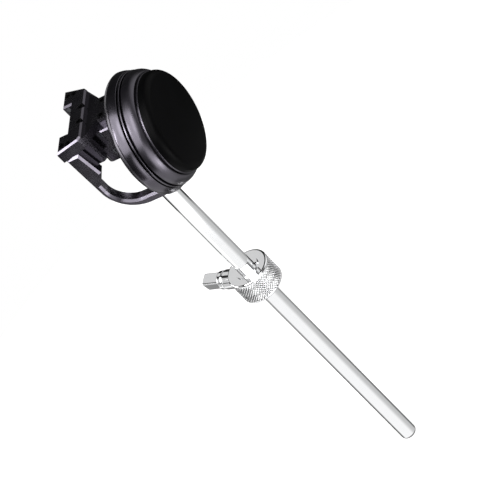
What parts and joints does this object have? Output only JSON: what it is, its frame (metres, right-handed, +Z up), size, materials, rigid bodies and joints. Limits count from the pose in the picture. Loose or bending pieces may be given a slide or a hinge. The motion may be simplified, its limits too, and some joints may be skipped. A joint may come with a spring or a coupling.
{
  "type": "bass drum beater",
  "caption": "Plated rod with a black layered round striking head on an open carrier, and a sliding collar weight locked by a square-headed key screw.",
  "frame": {"origin": "on the shaft's axis, where its straight wall begins just above the rounded lower end", "axes": "+Z up the shaft towards the head, -Y the way the head strikes, X across the carrier"},
  "size_m": [0.0552, 0.0566, 0.2556],
  "materials": {
    "plated_steel": "mirror polished plating",
    "bare_steel": "plain zinc",
    "dark_screws": "blackened",
    "black_moulding": "semi-gloss moulded",
    "black_rubber": "smooth satin",
    "face_plastic": "satin",
    "felt": "pressed felt",
    "nylon": "natural"
  },
  "bodies": {
    "beater": {"shaft": "plated_steel", "socket_bush": "bare_steel", "set_screws": "bare_steel", "neck_block": "black_moulding", "hub_screws": "dark_screws", "yoke_bar": "black_moulding", "yoke_screws": "dark_screws", "ear_pins": "bare_steel", "bow_left": "black_moulding", "bow_right": "black_moulding", "arm_screws": "dark_screws", "foot_screws": "dark_screws", "back_flange": "black_moulding", "core_screws": "dark_screws", "core_plate": "black_moulding", "clamp_ring": "black_moulding", "damping_disc": "felt", "strike_pad": "black_rubber", "face_disc": "face_plastic"},
    "slider": {"collar_liner": "plated_steel"},
    "weight": {"weight_collar": "plated_steel", "screw_bush": "plated_steel"},
    "tip": {"tip_pad": "nylon"},
    "key": {"key_screw": "plated_steel"}
  },
  "joints": [
    {"name": "weight_slide", "type": "slide", "parent": "beater", "child": "slider", "axis": [0, 0, 1], "range_m": [-0.06, 0.06]},
    {"name": "weight_turn", "type": "hinge", "parent": "slider", "child": "weight", "pos_m": [0, 0, 0.1285], "axis": [0, 0, 1], "continuous": true},
    {"name": "tip_advance", "type": "slide", "parent": "weight", "child": "tip", "axis": [0.3173, 0.9483, 0], "range_m": [-0.00025, 0.0016]},
    {"name": "key_turn", "type": "hinge", "parent": "tip", "child": "key", "pos_m": [0, 0, 0.1285], "axis": [0.3173, 0.9483, 0], "range_deg": [-115, 724]}
  ],
  "couplings": [
    {"joint": "key_turn", "follows": "tip_advance", "rad_per_m": 7854}
  ]
}
